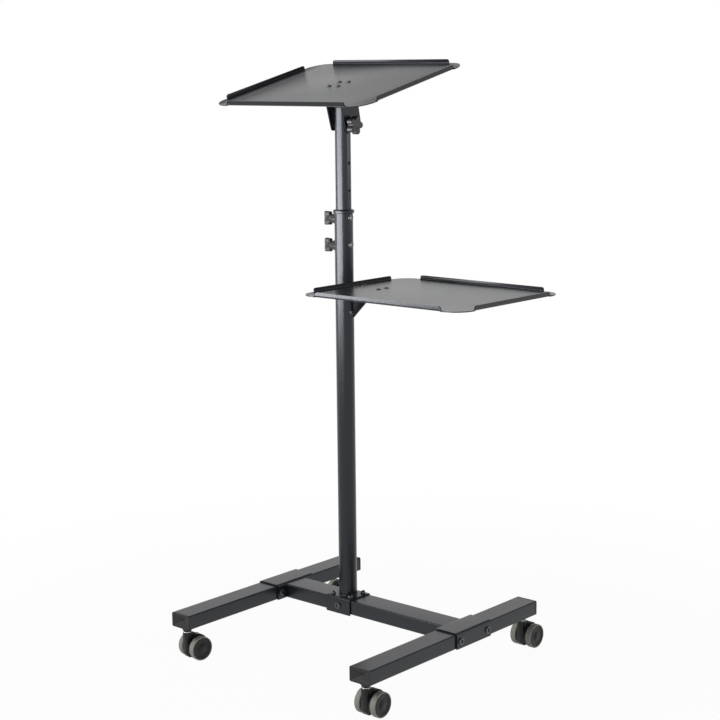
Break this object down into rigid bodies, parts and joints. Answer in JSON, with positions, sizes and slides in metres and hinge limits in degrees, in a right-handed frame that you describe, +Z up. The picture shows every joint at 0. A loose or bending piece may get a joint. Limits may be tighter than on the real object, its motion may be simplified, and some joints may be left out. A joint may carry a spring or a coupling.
{
  "type": "portable equipment stand",
  "caption": "Wheeled stand with an H-shaped base, a telescopic column, a fixed side tray and a tilting top tray for a projector.",
  "frame": {"origin": "middle of the outer sizes, on the floor under the wheels", "axes": "+Z up along the column, +X along the cross bar towards the lower tray, +Y along the legs towards their rear ends"},
  "size_m": [0.6394, 0.558, 1.2154],
  "materials": {
    "frame_paint": "satin",
    "cap_plastic": "matte",
    "knob_plastic": "matte",
    "caster_plastic": "matte",
    "tyre_grey": "matte",
    "plated_steel": "satin"
  },
  "bodies": {
    "base": {"crossbar": "frame_paint", "left_leg": "frame_paint", "right_leg": "frame_paint", "left_saddle": "frame_paint", "right_saddle": "frame_paint", "mast_saddle": "frame_paint", "outer_column": "frame_paint", "column_collar": "cap_plastic", "clamp_bosses": "frame_paint", "lower_tray": "frame_paint", "lower_tray_bracket": "frame_paint", "front_left_end_cap": "cap_plastic", "front_right_end_cap": "cap_plastic", "rear_left_end_cap": "cap_plastic", "rear_right_end_cap": "cap_plastic", "front_left_caster_stem": "plated_steel", "front_right_caster_stem": "plated_steel", "rear_left_caster_stem": "plated_steel", "rear_right_caster_stem": "plated_steel"},
    "mast": {"inner_column": "frame_paint", "inner_column_cap": "cap_plastic", "slide_glide": "cap_plastic", "tilt_pin": "plated_steel", "head_ears": "frame_paint"},
    "head": {"upper_tray": "frame_paint", "tilt_bracket": "frame_paint"},
    "upper_clamp_knob": {"upper_clamp_knob": "knob_plastic"},
    "lower_clamp_knob": {"lower_clamp_knob": "knob_plastic"},
    "tilt_knob": {"tilt_knob": "knob_plastic"},
    "front_left_swivel": {"front_left_caster_hood": "caster_plastic"},
    "front_left_wheels": {"front_left_wheel_hubs": "caster_plastic", "front_left_tyres": "tyre_grey"},
    "front_right_swivel": {"front_right_caster_hood": "caster_plastic"},
    "front_right_wheels": {"front_right_wheel_hubs": "caster_plastic", "front_right_tyres": "tyre_grey"},
    "rear_left_swivel": {"rear_left_caster_hood": "caster_plastic"},
    "rear_left_wheels": {"rear_left_wheel_hubs": "caster_plastic", "rear_left_tyres": "tyre_grey"},
    "rear_right_swivel": {"rear_right_caster_hood": "caster_plastic"},
    "rear_right_wheels": {"rear_right_wheel_hubs": "caster_plastic", "rear_right_tyres": "tyre_grey"}
  },
  "joints": [
    {"name": "column_height", "type": "slide", "parent": "base", "child": "mast", "axis": [0, 0, 1], "range_m": [-0.11, 0.165]},
    {"name": "tray_tilt", "type": "hinge", "parent": "mast", "child": "head", "pos_m": [-0.10733, 0.0354, 1.087], "axis": [1, 0, 0], "range_deg": [-28.7, 16.3]},
    {"name": "tilt_knob_turn", "type": "hinge", "parent": "mast", "child": "tilt_knob", "pos_m": [-0.10733, 0.0354, 1.087], "axis": [1, 0, 0], "continuous": true},
    {"name": "upper_clamp_turn", "type": "hinge", "parent": "base", "child": "upper_clamp_knob", "pos_m": [-0.10733, 0.0354, 0.8975], "axis": [-1, 0, 0], "continuous": true},
    {"name": "lower_clamp_turn", "type": "hinge", "parent": "base", "child": "lower_clamp_knob", "pos_m": [-0.10733, 0.0354, 0.8425], "axis": [-1, 0, 0], "continuous": true},
    {"name": "front_left_swivel", "type": "hinge", "parent": "base", "child": "front_left_swivel", "pos_m": [-0.28813, -0.261, 0.035], "axis": [0, 0, 1], "continuous": true},
    {"name": "front_left_roll", "type": "hinge", "parent": "front_left_swivel", "child": "front_left_wheels", "pos_m": [-0.28548, -0.24219, 0.025], "axis": [0.9903, -0.1392, 0], "continuous": true},
    {"name": "front_right_swivel", "type": "hinge", "parent": "base", "child": "front_right_swivel", "pos_m": [0.19947, -0.261, 0.035], "axis": [0, 0, 1], "continuous": true},
    {"name": "front_right_roll", "type": "hinge", "parent": "front_right_swivel", "child": "front_right_wheels", "pos_m": [0.19947, -0.242, 0.025], "axis": [1, 0, 0], "continuous": true},
    {"name": "rear_left_swivel", "type": "hinge", "parent": "base", "child": "rear_left_swivel", "pos_m": [-0.28813, 0.235, 0.035], "axis": [0, 0, 1], "continuous": true},
    {"name": "rear_left_roll", "type": "hinge", "parent": "rear_left_swivel", "child": "rear_left_wheels", "pos_m": [-0.29077, 0.21618, 0.025], "axis": [-0.9903, 0.1392, 0], "continuous": true},
    {"name": "rear_right_swivel", "type": "hinge", "parent": "base", "child": "rear_right_swivel", "pos_m": [0.19947, 0.235, 0.035], "axis": [0, 0, 1], "continuous": true},
    {"name": "rear_right_roll", "type": "hinge", "parent": "rear_right_swivel", "child": "rear_right_wheels", "pos_m": [0.19947, 0.254, 0.025], "axis": [1, 0, 0], "continuous": true}
  ]
}
